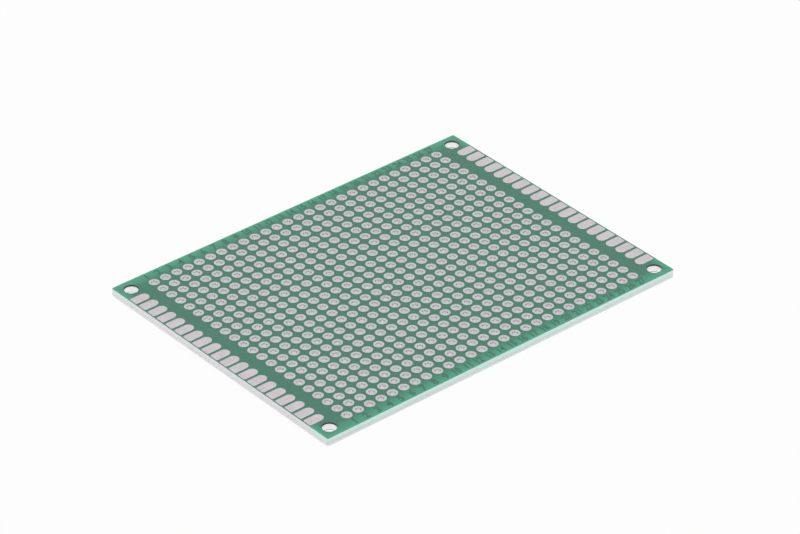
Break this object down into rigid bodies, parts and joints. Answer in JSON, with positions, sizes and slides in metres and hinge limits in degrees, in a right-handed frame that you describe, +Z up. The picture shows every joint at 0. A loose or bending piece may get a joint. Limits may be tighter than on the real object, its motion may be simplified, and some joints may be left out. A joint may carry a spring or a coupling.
{
  "type": "prototype board",
  "caption": "Flat rectangular prototype board with a full grid of through holes, contact fingers along both short edges and a screw hole in each corner.",
  "frame": {"origin": "middle of the footprint, level with the lowest metal that the board rests on", "axes": "+X along the long edges, +Y along the short edges, +Z up out of the component side"},
  "size_m": [0.08, 0.06, 0.0016],
  "materials": {
    "solder_mask": "green solder mask, semi-gloss",
    "tinned_copper": "levelled tin, soft and slightly uneven",
    "laminate": "pale glass-epoxy laminate, cut edge"
  },
  "bodies": {
    "root": {"board": "solder_mask", "left_fingers_top": "tinned_copper", "left_fingers_bottom": "tinned_copper", "right_fingers_top": "tinned_copper", "right_fingers_bottom": "tinned_copper"}
  },
  "joints": []
}
